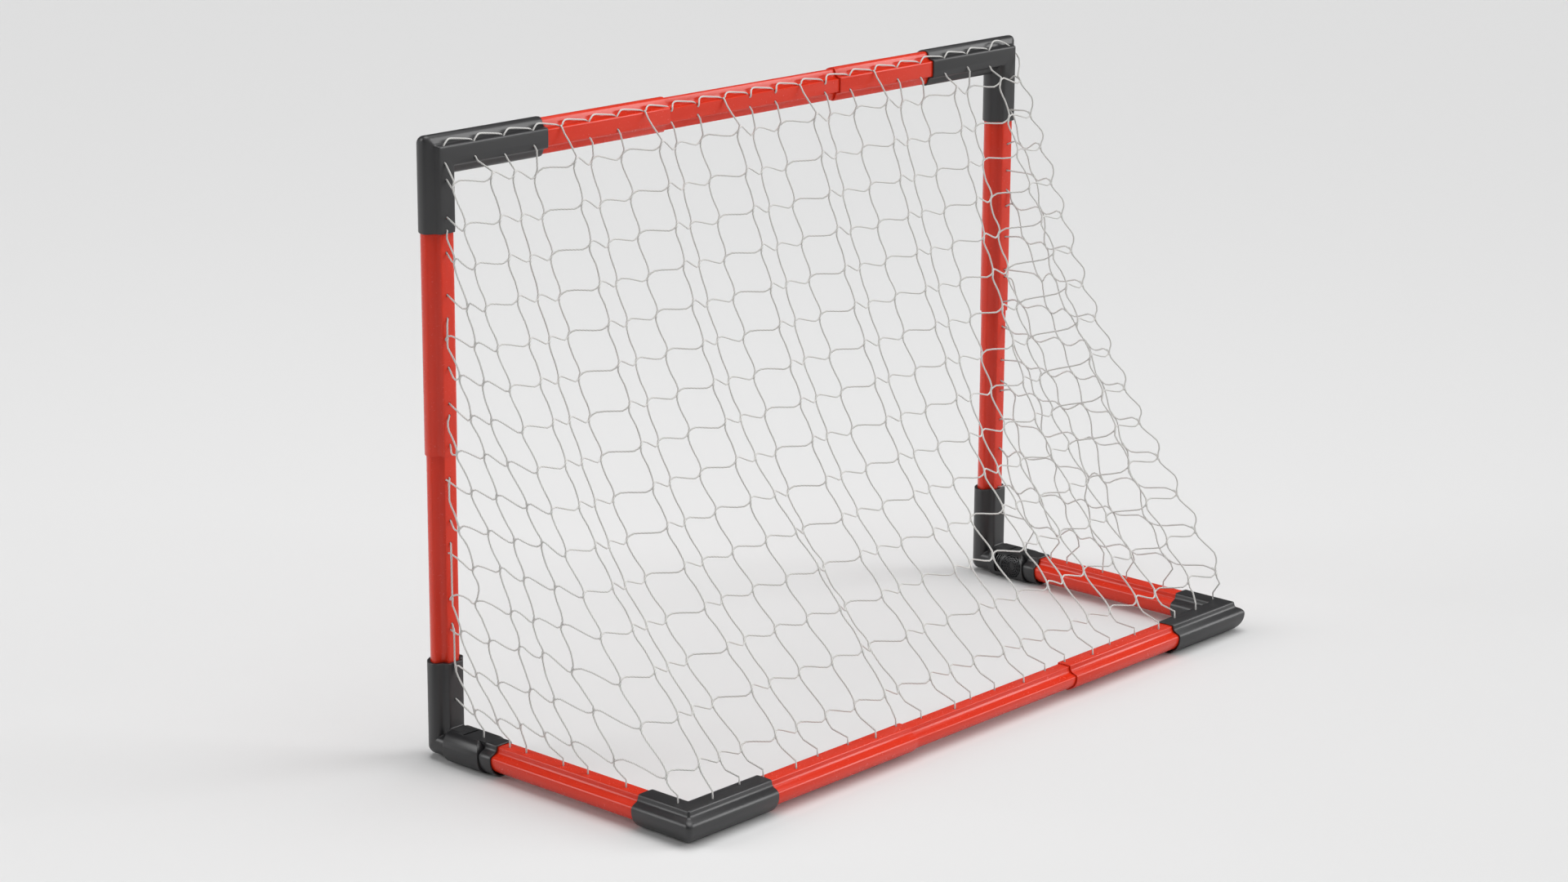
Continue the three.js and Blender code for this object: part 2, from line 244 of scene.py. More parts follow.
# A mesh object from points in mm; faces are turned outward by the sign of the enclosed volume.
def makePiece(name, points, faces, material, crease=32.0, lay=None):
    mesh = bpy.data.meshes.new(name)
    mesh.from_pydata(np.asarray(points, float) / 1000, [], faces)
    mesh.calc_loop_triangles()
    index = np.zeros(len(mesh.loop_triangles) * 3, np.int32)
    mesh.loop_triangles.foreach_get("vertices", index)
    a, b, c = np.asarray(points, float)[index.reshape(-1, 3)].transpose(1, 0, 2)
    if np.einsum("ij,ij->", a, np.cross(b, c)) < 0:
        mesh.flip_normals()
    if lay is not None:
        attribute = mesh.attributes.new("lay", "FLOAT_VECTOR", "POINT")
        attribute.data.foreach_set("vector", np.asarray(lay, np.float32).ravel())
    mesh.materials.append(material)
    mesh.shade_smooth()
    mesh.set_sharp_from_angle(angle=math.radians(crease))
    piece = bpy.data.objects.new(name, mesh)
    scene.collection.objects.link(piece)
    return piece


# Applies boolean tools in order and removes them; a tool is (object, operation).
def carve(piece, tools, crease=32.0, crossing=False):
    for tool, operation in tools:
        step = piece.modifiers.new("carve", "BOOLEAN")
        step.object, step.operation, step.solver = tool, operation, "EXACT"
        step.use_self = crossing
    graph = bpy.context.evaluated_depsgraph_get()
    mesh = bpy.data.meshes.new_from_object(piece.evaluated_get(graph))
    piece.modifiers.clear()
    piece.data = mesh
    mesh.name = piece.name
    mesh.shade_smooth()
    mesh.set_sharp_from_angle(angle=math.radians(crease))
    for tool, operation in tools:
        bpy.data.objects.remove(tool)
    return piece


# Quads between neighbouring rings, each ring closed; the ends are capped unless the rings close on
# themselves.
def gridFaces(rows, count, closed=False):
    ring = np.arange(rows if closed else rows - 1)[:, None]
    here = np.arange(count)[None, :]
    after = (here + 1) % count
    upper = ((ring + 1) % rows) * count
    quads = np.stack([ring * count + here, ring * count + after, upper + after, upper + here], -1)
    faces = quads.reshape(-1, 4).tolist()
    if not closed:
        faces += [list(range(count))[::-1], list(range((rows - 1) * count, rows * count))]
    return faces


# Rounds a closed loop: every side is replaced by its points at 1/4 and 3/4.
def chaikin(loop, rounds=2):
    for _ in range(rounds):
        after = np.roll(loop, -1, axis=0)
        loop = np.stack([0.75 * loop + 0.25 * after, 0.25 * loop + 0.75 * after], 1).reshape(-1, 2)
    return loop


# Closed loop from its half: (u, v) then (-u, v) backwards.
def mirrored(half):
    return np.concatenate([half, (half * [-1, 1])[::-1]])


# Rail outline shrunk by inset: (u - inset nu, v - inset nv), with v < 0 drawn out by 1 + depth / 23.
def railSection(inset=0.0, depth=0.0):
    u, v, nu, nv = np.array(rail["half"]).T
    w = v - inset * nv
    w = np.where(w < 0, w * (1 + depth / rail["backDepth"]), w)
    return chaikin(mirrored(np.stack([u - inset * nu, w], 1)))


# base + u across + v ridge for each point (u, v) of the section.
def ringAt(base, section, across, ridge):
    return base + section[:, :1] * across + section[:, 1:] * ridge


# Quarter round: distance end - radius (1 - sin a), inset + radius (1 - cos a), a from 0 to 90 degrees.
def lipStations(end, inset, radius, steps=4):
    a = np.linspace(0, math.pi / 2, steps)
    return list(zip(end - radius * (1 - np.sin(a)), inset + radius * (1 - np.cos(a))))


# Hollow rail: rings run along the outside, over the end, back inside, and close on themselves.
def makeTube(name, start, end, across, ridge, outer, inner):
    length = np.linalg.norm(end - start)
    way = (end - start) / length
    front = lipStations(length, outer, rail["lip"])
    back = [(length - t, inset) for t, inset in front][::-1]
    chamfer = 0.25
    inside = [(length, inner - chamfer), (length - chamfer, inner), (chamfer, inner), (0.0, inner - chamfer)]
    stations = back + front + inside
    rings = np.stack([ringAt(start + way * t, railSection(inset), across, ridge) for t, inset in stations])
    faces = gridFaces(len(rings), rings.shape[1], closed=True)
    return makePiece(name, rings.reshape(-1, 3), faces, redPlastic)


# Rounding radius: small below w = low, large above w = high, smooth between.
def cornerRound(w, low, high, small, large):
    t = np.clip((w - low) / (high - low), 0, 1)
    return small + (large - small) * t * t * (3 - 2 * t)


# Rail section carried round a mitred corner. w is the section's place in the corner's plane, o across it.
# On a leg: corner - t n_other + w n + o side. In the bend: corner + (w - p)(n1 + n2) + p (n1 cos a + n2
# sin a) + o side, with p the rounding radius, so that the outside edge is round and the inside edge
# nearly sharp.
def makeConnector(name, corner, normals, side, reach, bores, shape):
    n1, n2 = normals

    def parts(inset):
        section = railSection(inset, shape["depth"])
        return (section[:, 0], section[:, 1]) if shape["turn"] == "u" else (-section[:, 1], section[:, 0])

    def leg(t, inset, n, other):
        w, o = parts(inset)
        return corner - t * other + w[:, None] * n + o[:, None] * side

    def mouth(end, bore):
        lip = lipStations(end, 0.0, rail["connectorLip"])[::-1]
        if bore is None:
            return [(end, 0.0)]
        return [(end - rail["socket"], bore), (end - 0.4, bore), (end, bore - 0.3)] + lip

    rings = [leg(t, inset, n1, n2) for t, inset in mouth(reach[0], bores[0])]
    w, o = parts(0.0)
    p = cornerRound(w, *shape["round"])[:, None]
    for a in np.linspace(0, math.pi / 2, shape["steps"]):
        rings.append(corner + (w[:, None] - p) * (n1 + n2) + p * (n1 * math.cos(a) + n2 * math.sin(a))
                     + o[:, None] * side)
    rings += [leg(t, inset, n2, n1) for t, inset in mouth(reach[1], bores[1])[::-1]]
    rings = np.stack(rings)
    return makePiece(name, rings.reshape(-1, 3), gridFaces(len(rings), rings.shape[1]), blackPlastic)


# Round cords along many paths (cords, points, 3): path + r (cos a b + sin a n), b = t x up, n = b x t.
def sweep(paths, radius, sides, up):
    tangent = np.gradient(paths, axis=1)
    tangent /= np.linalg.norm(tangent, axis=2, keepdims=True)
    b = np.cross(tangent, up)
    b /= np.linalg.norm(b, axis=2, keepdims=True)
    n = np.cross(b, tangent)
    a = np.arange(sides) * 2 * math.pi / sides
    r = np.broadcast_to(radius, paths.shape[:2])[:, :, None, None]
    spoke = np.cos(a)[None, None, :, None] * b[:, :, None] + np.sin(a)[None, None, :, None] * n[:, :, None]
    points = paths[:, :, None] + r * spoke
    step = np.linalg.norm(np.diff(paths, axis=1), axis=2)
    along = np.concatenate([np.zeros((len(paths), 1)), np.cumsum(step, 1)], 1)
    lay = np.stack(np.broadcast_arrays(np.cos(a), np.sin(a), along[:, :, None]), -1)
    cords, count = paths.shape[:2]
    one = gridFaces(count, sides)
    faces = [[k + c * count * sides for k in face] for c in range(cords) for face in one]
    return points.reshape(-1, 3), faces, lay.reshape(-1, 3)


# Joins (points, faces, lay) batches into one.
def gather(batches):
    points, faces, lay, count = [], [], [], 0
    for p, f, l in batches:
        faces += [[k + count for k in face] for face in f]
        points.append(p)
        lay.append(l)
        count += len(p)
    return np.concatenate(points), faces, np.concatenate(lay)


# Profile (h, r) turned about an axis: centre + h axis + r (cos a first + sin a second).
def revolve(name, profile, centre, axis, first, second, sides, material):
    h, r = np.array(profile, float).T
    a = np.arange(sides) * 2 * math.pi / sides
    rings = (centre + h[:, None, None] * axis
             + r[:, None, None] * (np.cos(a)[None, :, None] * first + np.sin(a)[None, :, None] * second))
    return makePiece(name, rings.reshape(-1, 3), gridFaces(len(h), sides), material)


# Outline (y, z) drawn out along X from x0 to x1.
def plate(name, outline, x0, x1, material=None):
    y, z = np.array(outline, float).T
    rings = np.stack([np.stack([np.full_like(y, x), y, z], 1) for x in (x0, x1)])
    return makePiece(name, rings.reshape(-1, 3), gridFaces(2, len(y)), material or blackPlastic)


def arcPoints(y, z, radius, start, stop, steps):
    a = np.radians(np.linspace(start, stop, steps))
    return np.stack([y + radius * np.cos(a), z + radius * np.sin(a)], 1)


# Smooth curve through control points (..., n, 3), each span a cubic with end slopes from its neighbours.
def curveThrough(points, count):
    points = np.asarray(points, float)
    slope = np.gradient(points, axis=-2)
    t = np.linspace(0, points.shape[-2] - 1, count)
    k = np.minimum(t.astype(int), points.shape[-2] - 2)
    f = (t - k)[:, None]
    p0, p1, m0, m1 = points[..., k, :], points[..., k + 1, :], slope[..., k, :], slope[..., k + 1, :]
    return ((2 * f**3 - 3 * f**2 + 1) * p0 + (f**3 - 2 * f**2 + f) * m0
            + (3 * f**2 - 2 * f**3) * p1 + (f**3 - f**2) * m1)


# Smooth curve through a short table, by the same cubic spans.
def smoothTable(x, at, values):
    at, values = np.array(at, float), np.array(values, float)
    slope = np.gradient(values, at)
    k = np.clip(np.searchsorted(at, x) - 1, 0, len(at) - 2)
    h = at[k + 1] - at[k]
    f = np.clip((x - at[k]) / h, 0, 1)
    return ((2 * f**3 - 3 * f**2 + 1) * values[k] + (f**3 - 2 * f**2 + f) * h * slope[k]
            + (3 * f**2 - 2 * f**3) * values[k + 1] + (f**3 - f**2) * h * slope[k + 1])


# How much smaller the crossbar's section is at x than the connector's.
def crossInset(x):
    return 0.0 if abs(x) > topLegX else rail["thin"] if crossSeams[0] < x < crossSeams[1] else rail["outer"]


def rearInset(x):
    return 0.0 if abs(x) > rearLegX else rail["thin"] if rearSeams[0] < x < rearSeams[1] else rail["outer"]


def postInset(z):
    return 0.0 if z > topLegZ or z < bottomLegZ else rail["outer"] if z > postSeam else rail["thin"]


def sideInset(y):
    return 0.0 if y > rearLegY else 0.5 if y < pivotY + 20 else 0.0 if y < pivotY + 41 else rail["outer"]


# net: in mm; column 0 is the right rear edge, proud columns hang outside the rest, at the top and low down
net = {
    "halfWidth": 537.9, "columns": 23, "rows": 15, "sideColumns": 6, "cord": 1.1, "knot": 1.5, "sides": 6,
    "sway": 2.8, "swayTurn": 0.135, "behind": 0.7, "billow": 5.0, "turnFrom": 0.5, "turnTo": 0.98,
    "proud": 20.0, "lowFrom": 350.0, "lowOver": 250.0, "fadeFrom": 680.0, "fadeOver": 130.0,
    "firstOver": 1, "overEvery": 3, "overBetween": (3, 19),
    "proudTop": [0, 1.25, 0.8, 0.1, 1.3, 0.2, 0.5, 1.5, 0.3, 0.3, 1.35, 0.3,
                 0.3, 1.35, 0.3, 0.5, 1.3, 0.3, 0.2, 1.2, 0.1, 0.8, 0],
    "proudLow": [0, 1.6, 0.8, 0.2, 1.4, 0.4, 0.8, 1.4, 2.0, 0, 1.3, 0.5,
                 0.4, 1.2, 0.4, 0.4, 1.2, 0.3, 0.3, 1.1, 0.3, 1.0, 0],
    "belly": {"column": 21, "height": 25.0, "from": 130.0, "over": 500.0},
    "front": (postY + 17.6, crossZ - 2.0), "rear": (rearY - 13.5, baseZ + 17.7), "endRow": 14.6,
    "rowAt": [-1, 0, 3, 6, 9, 12, 14, 15], "rowDown": [-20, 33, 182, 333, 489, 653, 774, 838],
    "scallopRight": (2.5, 2.5), "scallopLeft": (9.0, 13.0), "uneven": 1.0, "sideUneven": 3.0, "seed": 7,
    "hole": 2.1, "holeOut": 2.5, "holeIn": 4.5,
    "sagAt": [0, 30, 84, 184, 284, 384, 488, 594, 700, 770, 809],
    "sagRight": [0, 3, 10, 25, 31, 35, 36, 29, 18, 4, -3],
    "sagLeft": [0, 0, 4, 13, 22, 26, 21, 7, -8, -17, -20],
    "sagMiddle": [0, 19, 33, 54, 71, 82, 89, 76, 50, 26, 12],
    # distance of each side column from the rear edge, along Y, at a few rows; it fans out toward the base
    "sideAt": [0, 4, 6, 8, 10, 12, 14, 15],
    "sideSpan": [[0, 0, 0, 0, 0, 0, 0, 0], [40, 34, 54, 40, 48, 74, 86, 85],
                 [90, 85, 82, 88, 96, 130, 154, 149],
                 [140, 140, 138, 132, 138, 163, 206, 191], [190, 190, 190, 185, 184, 225, 249, 255],
                 [240, 240, 240, 238, 236, 273, 284, 284], [290, 290, 290, 290, 288, 312, 326, 330],
                 [340, 340, 340, 340, 340, 360, 370, 375]],
}
netFront, netRear = np.array(net["front"]), np.array(net["rear"])
slopeLength = np.linalg.norm(netRear - netFront)
slopeWay = (netRear - netFront) / slopeLength
slopeOut = np.array([-slopeWay[1], slopeWay[0]])
columnPitch = 2 * net["halfWidth"] / (net["columns"] - 1)
lastColumn = net["columns"] - 1
uneven = np.random.default_rng(net["seed"]).normal(0, 1, (net["columns"] + 20, net["rows"] + 4, 2))


# t t (3 - 2 t), with t held between 0 and 1.
def easeStep(t):
    t = np.clip(t, 0, 1)
    return t * t * (3 - 2 * t)


# The hung net at column c and row r, both real numbers. Columns 0 to 22 hang behind, the others at the
# sides. Behind: slope point at q(r), moved by -sag(c, q) + proud(c, q) along the slope's outward normal.
# The sag rises from the edge's to the middle's over three columns as 1 - (1 - n / 3) ^ 2. Sides: the same
# height, and y = edge y - span(columns from the edge, r).
def netPoint(c, r):
    c, r = np.broadcast_arrays(np.asarray(c, float), np.asarray(r, float))
    q = smoothTable(r, net["rowAt"], net["rowDown"])
    behind = np.clip(c, 0, lastColumn)
    edge = np.where(behind < lastColumn / 2, smoothTable(q, net["sagAt"], net["sagRight"]),
                    smoothTable(q, net["sagAt"], net["sagLeft"]))
    middle = smoothTable(q, net["sagAt"], net["sagMiddle"])
    inward = np.clip(np.minimum(behind, lastColumn - behind) / 3, 0, 1)
    share = 1 - (1 - inward) ** 2
    columns = np.arange(net["columns"])
    low = easeStep((q - net["lowFrom"]) / net["lowOver"])
    proud = net["proud"] * ((1 - low) * np.interp(behind, columns, net["proudTop"])
                            + low * np.interp(behind, columns, net["proudLow"]))
    proud = proud * (1 - 0.5 * easeStep((q - net["fadeFrom"]) / net["fadeOver"]))
    belly = net["belly"]
    proud = proud + (belly["height"] * np.clip(1 - np.abs(behind - belly["column"]), 0, 1)
                     * np.sin(math.pi * np.clip((q - belly["from"]) / belly["over"], 0, 1)))
    off = proud - edge - (middle - edge) * share
    y = netFront[0] + slopeWay[0] * q + slopeOut[0] * off
    z = netFront[1] + slopeWay[1] * q + slopeOut[1] * off
    x = net["halfWidth"] - columnPitch * behind
    beside = np.minimum(np.abs(c - behind), len(net["sideSpan"]) - 1.01)
    spans = np.stack([smoothTable(r, net["sideAt"], span) for span in net["sideSpan"]])
    inner = beside.astype(int)
    near = np.take_along_axis(spans, inner[None], 0)[0]
    far = np.take_along_axis(spans, inner[None] + 1, 0)[0]
    y = y - near - (far - near) * (beside - inner)
    billow = (net["billow"] * np.sin(math.pi * np.clip(beside / 7, 0, 1))
              * np.sin(math.pi * np.clip(q / slopeLength, 0, 1)))
    x = x + np.sign(x) * billow
    # a real net is a little uneven: each knot is off by about a millimetre, more at the sides
    knotC, knotR = np.round(c), np.round(r)
    ci = np.clip(knotC.astype(int) + 10, 0, net["columns"] + 19)
    ri = np.clip(knotR.astype(int), 0, net["rows"] + 3)
    size = net["uneven"] + (net["sideUneven"] - net["uneven"]) * np.clip(beside, 0, 1)
    atKnot = [0.5 + 0.5 * np.cos(2 * math.pi * (v - knot)) for v, knot in ((r, knotR), (c, knotC))]
    size = size * atKnot[0] * atKnot[1]
    shake = uneven[ci, ri] * size[..., None]
    return np.stack([x, y + shake[..., 0], z + shake[..., 1]], -1)


# Sideways shift of a column near its knots: -s sin(pi f / 0.27) through a knot, easing back between
# knots.
def sway(r):
    f = r - np.round(r)
    g = np.abs(f)
    turn = net["swayTurn"]
    through = -net["sway"] * np.sin(math.pi * g / (2 * turn))
    between = -net["sway"] * np.cos(math.pi * (g - turn) / (1 - 2 * turn))
    return np.sign(f) * np.where(g < turn, through, between)


# Row number at which side column k leaves the post's ridge, found on a fine grid.
def topOfSide(k):
    r = np.linspace(0, net["endRow"], 600)
    y = netPoint(np.full_like(r, lastColumn + k), r)[:, 1]
    return float(r[np.argmax(y > postY + rail["ridge"] - 1.0)])


# Where column c goes into the base: on the ridge's top, as (x, y, z).
def bottomHole(c):
    beside = c - min(max(c, 0), lastColumn)
    x = net["halfWidth"] - columnPitch * min(max(c, 0), lastColumn)
    if beside or c in (0, lastColumn):
        y = rearY - 16 - net["sideSpan"][abs(beside)][-1]
        return axisVector(math.copysign(postX + 1.0, x), y, baseZ + rail["ridge"] - sideInset(y))
    over = (c - net["firstOver"]) % net["overEvery"] == 0
    x += 2.0 if c % 4 == 2 else 9.0
    return axisVector(x, rearY + (4.0 if over else -5.0), baseZ + rail["ridge"] - rearInset(x))


holes = {"top": [], "post": [], "base": []}  # (point, direction into the rail)
cords = {"back": [], "left": [], "right": [], "lacing": []}
radius, knotRadius = net["cord"], net["knot"]


# Cord radius, a little thicker at the knots.
def columnRadius(r):
    f = np.abs(r - np.round(r))
    return radius + (knotRadius - radius) * np.exp(-(f / 0.07) ** 2) * (r > -0.3) * (r < net["rows"] - 0.5)


# One upright cord: head points, the swaying net line along rows, tail points.
def addColumn(c, rows, head, tail, where, up, shift=None):
    body = netPoint(c + sway(rows) / columnPitch, rows)
    if shift is not None:
        body = body + shift(rows)
    path = np.concatenate([head, body, tail])
    size = np.concatenate([np.full(len(head), radius), columnRadius(rows), np.full(len(tail), radius)])
    cords[where].append(sweep(path[None], size[None], net["sides"], up))


backUp = np.array([0, slopeOut[0], slopeOut[1]])
rowsBack = np.arange(-0.1, 14.31, 0.125)
for c in range(net["columns"]):
    x = net["halfWidth"] - columnPitch * c
    inset = crossInset(x)
    face = postY + rail["ridge"] - inset
    over = (c - net["firstOver"]) % net["overEvery"] == 0 and net["overBetween"][0] < c < net["overBetween"][1]
    if over:  # over the ridge from its upper edge, and away from its face
        edgeZ = crossZ + 11.5 - 0.9 * inset
        head = np.array([[x - 1, face - 3.5, edgeZ + 1.6], [x + 0.3, face - 1.0, edgeZ + 2.4],
                         [x + 1.2, face + 1.6, edgeZ + 0.6], [x + 1.2, face + 5.5, edgeZ - 6.0],
                         [x + 0.6, face + 13.0, edgeZ - 15.0]])
    elif c == lastColumn:
        head = np.array([[x - 4, face - 6, crossZ + 3], [x - 13.5, face - 3.0, crossZ + 1],
                         [x - 13.0, face + 3, crossZ - 6], [x - 8, face + 8, crossZ - 14]])
        holes["top"].append((head[1], axisVector(1, 0, 0)))
    else:
        high = crossZ - 8.0 + 2.5 * math.sin(2.3 * c)
        head = np.array([[x + 0.5, face - 4.0, high + 2.0], [x, face, high], [x - 0.4, face + 3.5, high - 5.0]])
        holes["top"].append((head[1], -axisY))
    foot = bottomHole(c)
    tail = np.array([foot + [0, -0.5, 9.0], foot, foot - [0, 0, 4.0]])
    holes["base"].append((foot, -axisZ))
    edge = c in (0, lastColumn)
    swell = net["scallopRight"] if c == 0 else net["scallopLeft"]
    bulge = (lambda r, s=math.copysign(1, x), w=swell:
             (np.interp(r, [0, 14], w) * np.sin(math.pi * (r % 1) ** 1.5) * (r > 0) * (r < 14))[:, None]
             * np.array([0.4 * s, 0.9, 0.0])) if edge else None
    addColumn(c, rowsBack, head, tail, "back", backUp, bulge)

# a link between neighbouring knots, relative to the left knot: along the row and down, in mm
link = np.array([[-2.2, 4.0], [0.0, 0.0], [4.5, -3.0], [11.0, -4.2], [24.45, 0.0],
                 [37.9, 4.2], [44.4, 3.0], [columnPitch, 0.0], [51.1, -4.0]])
linkPoints, rowPitch = 12, 52.0


# Links right of knots (c, r), arrays of equal length, laid a little inside the columns.
def addLinks(c, r, where, up):
    cc = c[:, None] + link[:, 0] / columnPitch
    rr = r[:, None] + link[:, 1] / rowPitch
    path = curveThrough(netPoint(cc, rr) - net["behind"] * up, linkPoints)
    cords[where].append(sweep(path, radius, net["sides"], up))


c, r = [g.ravel() for g in np.meshgrid(np.arange(lastColumn), np.arange(net["rows"]), indexing="ij")]
addLinks(c, r, "back", backUp)
print("back net hung")

for side, where in ((1, "right"), (-1, "left")):
    up = axisVector(side, 0, 0)
    edge = 0 if side > 0 else lastColumn
    step = -side
    ridgeY = postY + rail["ridge"]
    start = {k: topOfSide(k) for k in range(1, net["sideColumns"] + 1)}
    for k, top in start.items():
        c = edge + step * k
        rows = np.arange(top + 0.12, 14.31, 0.125)
        if len(rows) < 4:
            rows = np.linspace(top + 0.05, max(top + 0.15, 14.4), 5)
        x, y, z = netPoint(c, top)
        face = ridgeY - postInset(z)
        head = np.array([[side * (postX + 1), face - 4.0, z + 2.5], [side * (postX + 1.5), face, z]])
        holes["post"].append((head[1], -axisY))
        foot = bottomHole(c)
        tail = np.array([foot + [0, 0, 9.0], foot, foot - [0, 0, 4.0]])
        holes["base"].append((foot, -axisZ))
        keep = lambda r: axisY * np.maximum(0, ridgeY + 1.5 - netPoint(c + sway(r) / columnPitch, r)[:, 1:2])
        addColumn(c, rows, head, tail, where, up, keep)
    for row in range(net["rows"]):
        inRow = [k for k in start if start[k] < row - 0.05]
        deepest = max(inRow, default=0)
        for k in range(1, deepest + 1):
            left = edge - k if side > 0 else edge + k - 1
            addLinks(np.array([float(left)]), np.array([float(row)]), where, up)
        # the row's last length, from the deepest knot into the post's ridge
        c = edge + step * deepest
        knot = netPoint(c, row)
        room = knot[1] - ridgeY
        if room > 7:
            z = knot[2] + (4.0 if side > 0 else -2.0) + 0.12 * room
            face = ridgeY - postInset(z)
            hole = axisVector(side * (postX + 1.0), face, z)
            near = link[:4] if side < 0 else link[-4:]
            near = near[:3] if side < 0 and room < 16 else near[1:] if room < 16 else near
            base = 0.0 if side < 0 else columnPitch
            body = netPoint(c + (near[:, 0] - base) / columnPitch, row + near[:, 1] / rowPitch)
            body = body - net["behind"] * up
            ends = np.array([hole, hole - [0, 4.0, -1.0]])
            path = np.concatenate([body, ends]) if side < 0 else np.concatenate([ends[::-1], body])
            cords[where].append(sweep(curveThrough(path, linkPoints)[None], radius, net["sides"], up))
            holes["post"].append((hole, -axisY))
print("side nets hung")

# lacing in the crossbar's upper notch: from each column it arcs up and forward, then sinks into the next hole
for c in range(lastColumn):
    x0 = net["halfWidth"] - columnPitch * c
    x1 = x0 - columnPitch
    i0, i1 = crossInset(x0 - 2), crossInset(x1 + 2)
    middle = crossSeams[0] < x0 < crossSeams[1]
    over = (c - net["firstOver"]) % net["overEvery"] == 0 and net["overBetween"][0] < c < net["overBetween"][1]
    if over:
        startPoints = [[x0 - 1, 13.5, 13.2], [x0 - 1.6, 16.2, 14.8]]
    elif middle:
        startPoints = [[x0 + 0.5, 12.5, 8.0], [x0 + 0.3, 17.6, 9.5], [x0 - 0.8, 17.6, 13.2]]
        holes["top"].append((axisVector(x0 + 0.3, postY + 17 - i0, crossZ + 8.5), -axisY))
    else:
        startPoints = [[x0 + 0.5, 14.0, 9.0], [x0, 15.0, 13.0]]
    high = 3.0 if c == lastColumn - 1 else 0.0
    run = columnPitch
    controls = np.array(startPoints + [
        [x0 - 4.5, 14.6, 17.6], [x0 - 11.0, 12.6, 19.6 + high], [x0 - 0.45 * run, 11.4, 18.4 + 1.6 * high],
        [x0 - 0.72 * run, 11.6, 16.4 + high], [x1 + 4.5, 12.4, 14.8], [x1 + 0.5, 12.2, 12.6],
        [x1 - 2.0, 11.0, 9.0]])
    shrink = np.interp(controls[:, 0], [x1, x0], [i1, i0])
    path = np.stack([controls[:, 0], postY + controls[:, 1] - 0.95 * shrink,
                     crossZ + controls[:, 2] - 0.85 * shrink], 1)
    cords["lacing"].append(sweep(curveThrough(path, 22)[None], radius, net["sides"], axisZ + 0.2 * axisY))
    holes["top"].append((path[-2] + [0, 0, 0.8], -axisZ))
print("crossbar laced")

for name, node, key in (("backNet", "net_back", "back"), ("sideNetLeft", "net_side_left", "left"),
                        ("sideNetRight", "net_side_right", "right"), ("crossbarLacing", None, "lacing")):
    points, faces, lay = gather(cords[key])
    piece = makePiece(name, points, faces, netCord, crease=80.0, lay=lay)
    if node:
        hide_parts(node)
        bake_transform(piece)
    else:
        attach(piece, "front_frame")
print("cords made")


# Bores the net's holes whose points lie between low and high.
def drill(piece, low, high, groups):
    paths = [(p - net["holeOut"] * d, p + net["holeIn"] * d) for group in groups for p, d in holes[group]
             if np.all(p > np.asarray(low) - 0.5) and np.all(p < np.asarray(high) + 0.5)]
    if not paths:
        return piece
    paths = np.array(paths)
    points, faces, lay = sweep(paths, net["hole"], 12, axisVector(0.3, 0.6, 0.74))
    bits = makePiece("tool", points, faces, piece.data.materials[0])
    return carve(piece, [(bits, "DIFFERENCE")], crossing=True)


def settle(piece, node, body, groups):
    low, high = corners(node)
    drill(piece, low, high, groups)
    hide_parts(node)
    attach(piece, body)
    return piece


sleeve = rail["socket"] - rail["clearance"]
tubeBore, thinSocket = rail["outer"] - rail["clearance"], rail["thin"] - rail["clearance"]
topShape = {"depth": 0.0, "turn": "u", "round": (8.0, 25.0, 1.5, 7.0), "steps": 8}
baseShape = {"depth": rail["footDepth"], "turn": "u", "round": (8.0, 25.0, 1.5, 7.0), "steps": 8}
footShape = {"depth": 0.0, "turn": "v", "round": (5.0, 23.0, 1.5, 9.0), "steps": 10}

for side, label in ((-1, "Left"), (1, "Right")):
    node = "_" + label.lower()
    x, outward = side * postX, axisVector(side, 0, 0)
    top = makeConnector("topCorner" + label, axisVector(x, postY, crossZ), (axisZ, outward), axisY,
                        (postX - topLegX, crossZ - topLegZ), (tubeBore, tubeBore), topShape)
    settle(top, "top_corner" + node, "front_frame", ("top", "post"))
    upper = makeTube("postUpper" + label, axisVector(x, postY, postSeam),
                     axisVector(x, postY, topLegZ + sleeve), outward, axisY, rail["outer"], rail["outerBore"])
    settle(upper, "post_upper" + node, "front_frame", ("post",))
    lower = makeTube("postLower" + label, axisVector(x, postY, bottomLegZ - sleeve),
                     axisVector(x, postY, postSeam + overlap), outward, axisY, rail["thin"], rail["thinBore"])
    settle(lower, "post_lower" + node, "front_frame", ("post",))
    sideTube = makeTube("sideTube" + label, axisVector(x, pivotY + 24.3, baseZ),
                        axisVector(x, rearLegY + sleeve, baseZ), axisX, axisZ, rail["outer"], rail["outerBore"])
    settle(sideTube, "side_tube" + node, "base_frame", ("base",))
    rear = makeConnector("rearCorner" + label, axisVector(x, rearY, baseZ), (outward, axisY), axisZ,
                         (rearY - rearLegY, postX - rearLegX), (tubeBore, tubeBore), baseShape)
    settle(rear, "rear_corner" + node, "base_frame", ("base",))

bars = [
    ("crossbarLeft", "crossbar_left", -(topLegX + sleeve), crossSeams[0], "outer"),
    ("crossbarMiddle", "crossbar_middle", crossSeams[0] - overlap, crossSeams[1] + overlap, "thin"),
    ("crossbarRight", "crossbar_right", crossSeams[1], topLegX + sleeve, "outer"),
    ("rearBarLeft", "rear_bar_left", -(rearLegX + sleeve), rearSeams[0], "outer"),
    ("rearBarMiddle", "rear_bar_middle", rearSeams[0] - overlap, rearSeams[1] + overlap, "thin"),
    ("rearBarRight", "rear_bar_right", rearSeams[1], rearLegX + sleeve, "outer"),
]
for name, node, x0, x1, size in bars:
    front = name.startswith("cross")
    y, z = (postY, crossZ) if front else (rearY, baseZ)
    across, ridge = (axisZ, axisY) if front else (axisY, axisZ)
    bar = makeTube(name, axisVector(x0, y, z), axisVector(x1, y, z), across, ridge,
                   rail[size], rail[size + "Bore"])
    settle(bar, node, "front_frame" if front else "base_frame", ("top",) if front else ("base",))
print("rails and connectors made")

